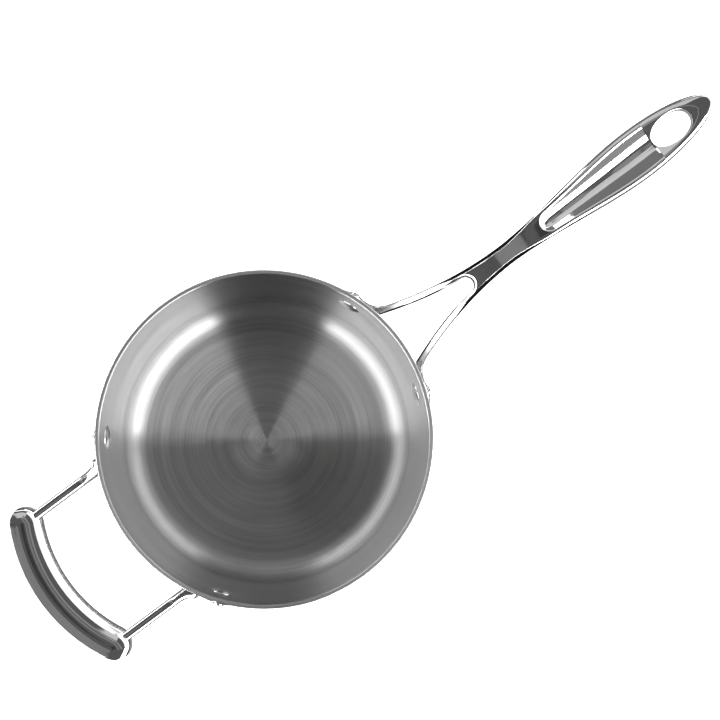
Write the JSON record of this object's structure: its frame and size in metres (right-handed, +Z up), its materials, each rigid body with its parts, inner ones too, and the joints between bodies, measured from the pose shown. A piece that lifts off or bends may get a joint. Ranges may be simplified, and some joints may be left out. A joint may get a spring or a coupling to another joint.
{
  "type": "saucier pan",
  "caption": "Clad steel saucier with a flared bowl, rounded corner, forked cast handle with scooped grip and hanging hole, and a bowed helper handle, all riveted on.",
  "frame": {"origin": "centre of the underside of the base, where the pan rests on the hob", "axes": "+X along the long handle, +Z up through the mouth of the bowl, +Y to the left of the long handle as seen by someone looking along it from the bowl to its tip"},
  "size_m": [0.502, 0.2054, 0.1275],
  "materials": {
    "brushed_skin": "satin, brushed in rings about the middle",
    "core_metal": "cut edge, ground",
    "outer_skin": "fine satin, turned",
    "cast_handle": "cast stainless steel, polished to a mirror",
    "rivet_steel": "pressed stainless steel, polished"
  },
  "bodies": {
    "root": {"inner_ply": "brushed_skin", "core_ply": "core_metal", "outer_ply": "outer_skin", "long_handle": "cast_handle", "helper_handle": "cast_handle", "rivet_handle_left": "rivet_steel", "rivet_handle_right": "rivet_steel", "rivet_helper_left": "rivet_steel", "rivet_helper_right": "rivet_steel"}
  },
  "joints": []
}
